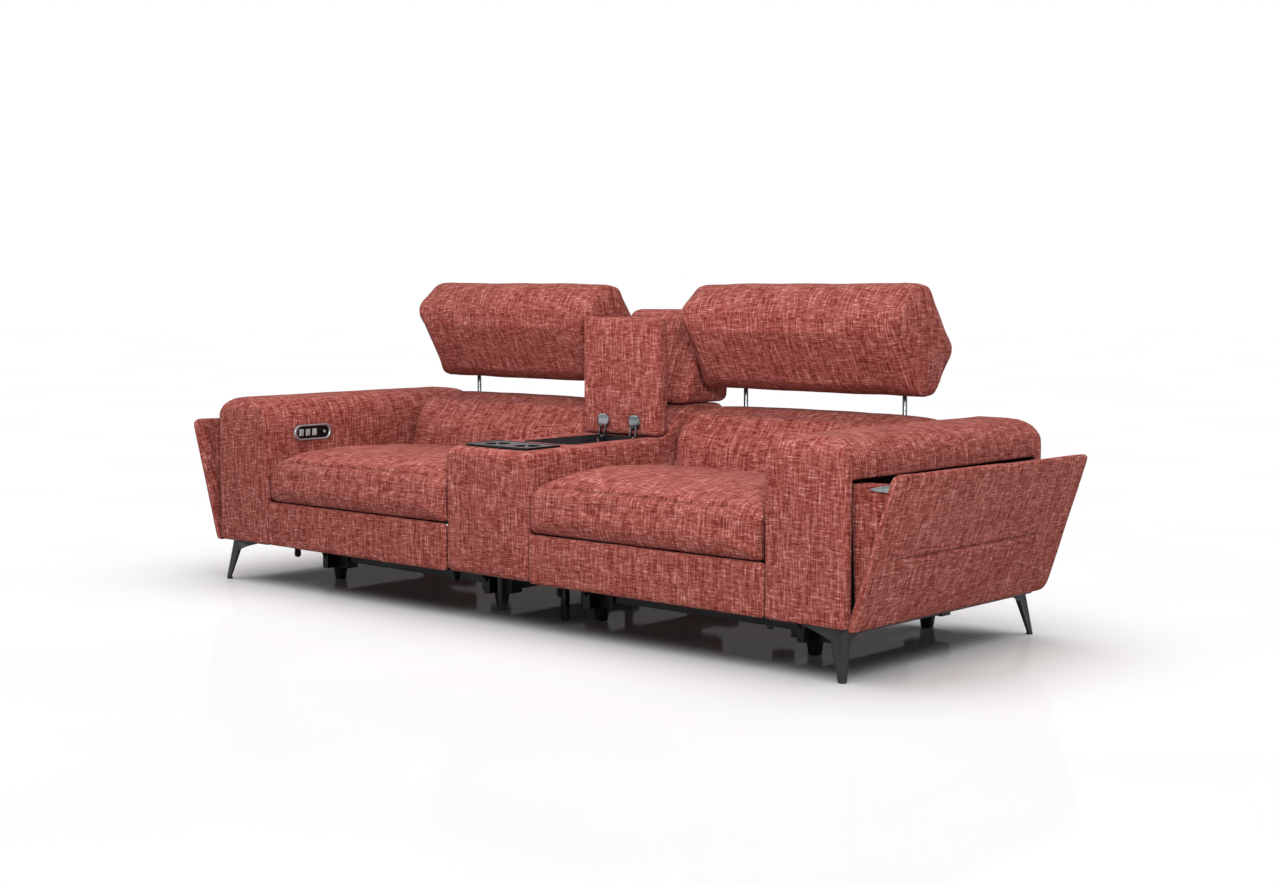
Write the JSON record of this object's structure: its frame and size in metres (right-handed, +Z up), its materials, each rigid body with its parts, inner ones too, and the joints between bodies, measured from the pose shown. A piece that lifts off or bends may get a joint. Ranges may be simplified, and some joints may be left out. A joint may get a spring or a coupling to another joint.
{
  "type": "two-seat reclining sofa with console",
  "caption": "Two-seat power reclining sofa with a centre console, drop down lid, raised headrests and tilt-out arm pockets.",
  "frame": {"origin": "bottom centre of the bounding box, on the floor, midway between the two arms", "axes": "+X to the right as seen from the front, +Y from the front to the back, +Z up"},
  "size_m": [2.902, 0.962, 1.0003],
  "materials": {
    "upholstery": "matte",
    "leg_metal": "satin",
    "chrome": "polished",
    "satin_trim": "satin",
    "black_plastic": "satin",
    "black_steel": "satin"
  },
  "bodies": {
    "frame": {"arm_left": "upholstery", "pocket_hinge_left": "black_steel", "leg_front_left": "leg_metal", "leg_rear_left": "leg_metal", "control_bezel_left": "satin_trim", "control_insert_left": "black_plastic", "seat_cushion_left": "upholstery", "recliner_frame_left": "black_steel", "actuator_left": "black_plastic", "lid_hinge_arm_left": "chrome", "arm_right": "upholstery", "pocket_hinge_right": "black_steel", "leg_front_right": "leg_metal", "leg_rear_right": "leg_metal", "control_bezel_right": "satin_trim", "control_insert_right": "black_plastic", "seat_cushion_right": "upholstery", "recliner_frame_right": "black_steel", "actuator_right": "black_plastic", "lid_hinge_arm_right": "chrome", "console_body": "upholstery", "storage_box": "black_plastic", "cup_tray": "black_plastic", "console_head_block": "upholstery", "console_stand": "black_plastic"},
    "lid": {"console_lid": "upholstery", "lid_hinge_cup_left": "chrome", "lid_hinge_cup_right": "chrome"},
    "pocket_left": {"pocket_bin_left": "upholstery"},
    "back_left": {"backrest_left": "upholstery", "back_bracket_left": "black_steel"},
    "headrest_lift_left": {"headrest_yoke_left": "chrome"},
    "headrest_pad_left": {"headrest_left": "upholstery"},
    "footrest_lower_left": {"footrest_lower_link_left": "black_steel"},
    "footrest_middle_left": {"footrest_middle_link_left": "black_steel"},
    "footrest_upper_left": {"footrest_upper_link_left": "black_steel"},
    "footrest_front_left": {"footrest_board_left": "upholstery", "footrest_carrier_left": "black_steel"},
    "drive_block_left": {"actuator_block_left": "black_plastic"},
    "switch_1_left": {"rocker_1_left": "satin_trim"},
    "switch_2_left": {"rocker_2_left": "satin_trim"},
    "switch_3_left": {"rocker_3_left": "satin_trim"},
    "button_left": {"control_button_left": "satin_trim"},
    "pocket_right": {"pocket_bin_right": "upholstery", "pocket_pull_plate_right": "chrome"},
    "back_right": {"backrest_right": "upholstery", "back_bracket_right": "black_steel"},
    "headrest_lift_right": {"headrest_yoke_right": "chrome"},
    "headrest_pad_right": {"headrest_right": "upholstery"},
    "footrest_lower_right": {"footrest_lower_link_right": "black_steel"},
    "footrest_middle_right": {"footrest_middle_link_right": "black_steel"},
    "footrest_upper_right": {"footrest_upper_link_right": "black_steel"},
    "footrest_front_right": {"footrest_board_right": "upholstery", "footrest_carrier_right": "black_steel"},
    "drive_block_right": {"actuator_block_right": "black_plastic"},
    "switch_1_right": {"rocker_1_right": "satin_trim"},
    "switch_2_right": {"rocker_2_right": "satin_trim"},
    "switch_3_right": {"rocker_3_right": "satin_trim"},
    "button_right": {"control_button_right": "satin_trim"}
  },
  "joints": [
    {"name": "lid_hinge", "type": "hinge", "parent": "frame", "child": "lid", "pos_m": [0, 0.107, 0.518], "axis": [1, 0, 0], "range_deg": [0, 90]},
    {"name": "pocket_tilt_left", "type": "hinge", "parent": "frame", "child": "pocket_left", "pos_m": [-1.304, 0, 0.129], "axis": [0, 1, 0], "range_deg": [0, 18]},
    {"name": "back_recline_left", "type": "hinge", "parent": "frame", "child": "back_left", "pos_m": [-0.608, 0.228, 0.285], "axis": [-1, 0, 0], "range_deg": [0, 28]},
    {"name": "headrest_height_left", "type": "slide", "parent": "back_left", "child": "headrest_lift_left", "axis": [0, 0, 1], "range_m": [-0.03, 0]},
    {"name": "headrest_tilt_left", "type": "hinge", "parent": "headrest_lift_left", "child": "headrest_pad_left", "pos_m": [-0.608, 0.366, 0.73], "axis": [1, 0, 0], "range_deg": [0, 25]},
    {"name": "footrest_open_left", "type": "hinge", "parent": "frame", "child": "footrest_lower_left", "pos_m": [-0.608, -0.362, 0.252], "axis": [-1, 0, 0], "range_deg": [0, 82]},
    {"name": "footrest_middle_pivot_left", "type": "hinge", "parent": "footrest_lower_left", "child": "footrest_middle_left", "pos_m": [-0.608, -0.38288, 0.10346], "axis": [-1, 0, 0], "range_deg": [-134.5, 0]},
    {"name": "footrest_upper_pivot_left", "type": "hinge", "parent": "footrest_middle_left", "child": "footrest_upper_left", "pos_m": [-0.608, -0.40375, 0.252], "axis": [-1, 0, 0], "range_deg": [0, 132.5]},
    {"name": "footrest_board_pivot_left", "type": "hinge", "parent": "footrest_upper_left", "child": "footrest_front_left", "pos_m": [-0.608, -0.41767, 0.15297], "axis": [-1, 0, 0], "range_deg": [0, 5.5]},
    {"name": "drive_slide_left", "type": "slide", "parent": "frame", "child": "drive_block_left", "axis": [0, 1, 0], "range_m": [0, 0.161]},
    {"name": "rocker_1_tilt_left", "type": "hinge", "parent": "frame", "child": "switch_1_left", "pos_m": [-1.044, -0.325, 0.502], "axis": [0, 1, 0], "range_deg": [-5, 5], "stiffness_Nm_per_rad": 0.4},
    {"name": "rocker_2_tilt_left", "type": "hinge", "parent": "frame", "child": "switch_2_left", "pos_m": [-1.044, -0.2975, 0.502], "axis": [0, 1, 0], "range_deg": [-5, 5], "stiffness_Nm_per_rad": 0.4},
    {"name": "rocker_3_tilt_left", "type": "hinge", "parent": "frame", "child": "switch_3_left", "pos_m": [-1.044, -0.27, 0.502], "axis": [0, 1, 0], "range_deg": [-5, 5], "stiffness_Nm_per_rad": 0.4},
    {"name": "button_press_left", "type": "slide", "parent": "frame", "child": "button_left", "axis": [-1, 0, 0], "range_m": [0, 0.0015], "stiffness_N_per_m": 600},
    {"name": "pocket_tilt_right", "type": "hinge", "parent": "frame", "child": "pocket_right", "pos_m": [1.304, 0, 0.129], "axis": [0, -1, 0], "range_deg": [0, 18]},
    {"name": "back_recline_right", "type": "hinge", "parent": "frame", "child": "back_right", "pos_m": [0.608, 0.228, 0.285], "axis": [-1, 0, 0], "range_deg": [0, 28]},
    {"name": "headrest_height_right", "type": "slide", "parent": "back_right", "child": "headrest_lift_right", "axis": [0, 0, 1], "range_m": [-0.03, 0]},
    {"name": "headrest_tilt_right", "type": "hinge", "parent": "headrest_lift_right", "child": "headrest_pad_right", "pos_m": [0.608, 0.366, 0.73], "axis": [1, 0, 0], "range_deg": [0, 25]},
    {"name": "footrest_open_right", "type": "hinge", "parent": "frame", "child": "footrest_lower_right", "pos_m": [0.608, -0.362, 0.252], "axis": [-1, 0, 0], "range_deg": [0, 82]},
    {"name": "footrest_middle_pivot_right", "type": "hinge", "parent": "footrest_lower_right", "child": "footrest_middle_right", "pos_m": [0.608, -0.38288, 0.10346], "axis": [-1, 0, 0], "range_deg": [-134.5, 0]},
    {"name": "footrest_upper_pivot_right", "type": "hinge", "parent": "footrest_middle_right", "child": "footrest_upper_right", "pos_m": [0.608, -0.40375, 0.252], "axis": [-1, 0, 0], "range_deg": [0, 132.5]},
    {"name": "footrest_board_pivot_right", "type": "hinge", "parent": "footrest_upper_right", "child": "footrest_front_right", "pos_m": [0.608, -0.41767, 0.15297], "axis": [-1, 0, 0], "range_deg": [0, 5.5]},
    {"name": "drive_slide_right", "type": "slide", "parent": "frame", "child": "drive_block_right", "axis": [0, 1, 0], "range_m": [0, 0.161]},
    {"name": "rocker_1_tilt_right", "type": "hinge", "parent": "frame", "child": "switch_1_right", "pos_m": [1.044, -0.325, 0.502], "axis": [0, 1, 0], "range_deg": [-5, 5], "stiffness_Nm_per_rad": 0.4},
    {"name": "rocker_2_tilt_right", "type": "hinge", "parent": "frame", "child": "switch_2_right", "pos_m": [1.044, -0.2975, 0.502], "axis": [0, 1, 0], "range_deg": [-5, 5], "stiffness_Nm_per_rad": 0.4},
    {"name": "rocker_3_tilt_right", "type": "hinge", "parent": "frame", "child": "switch_3_right", "pos_m": [1.044, -0.27, 0.502], "axis": [0, 1, 0], "range_deg": [-5, 5], "stiffness_Nm_per_rad": 0.4},
    {"name": "button_press_right", "type": "slide", "parent": "frame", "child": "button_right", "axis": [1, 0, 0], "range_m": [0, 0.0015], "stiffness_N_per_m": 600}
  ],
  "couplings": [
    {"joint": "footrest_middle_pivot_left", "follows": "footrest_open_left", "ratio": -1.6341},
    {"joint": "footrest_upper_pivot_left", "follows": "footrest_open_left", "ratio": 1.6098},
    {"joint": "footrest_board_pivot_left", "follows": "footrest_open_left", "ratio": 0.060976},
    {"joint": "drive_slide_left", "follows": "footrest_open_left", "m_per_rad": 0.1118},
    {"joint": "footrest_middle_pivot_right", "follows": "footrest_open_right", "ratio": -1.6341},
    {"joint": "footrest_upper_pivot_right", "follows": "footrest_open_right", "ratio": 1.6098},
    {"joint": "footrest_board_pivot_right", "follows": "footrest_open_right", "ratio": 0.060976},
    {"joint": "drive_slide_right", "follows": "footrest_open_right", "m_per_rad": 0.1118}
  ]
}
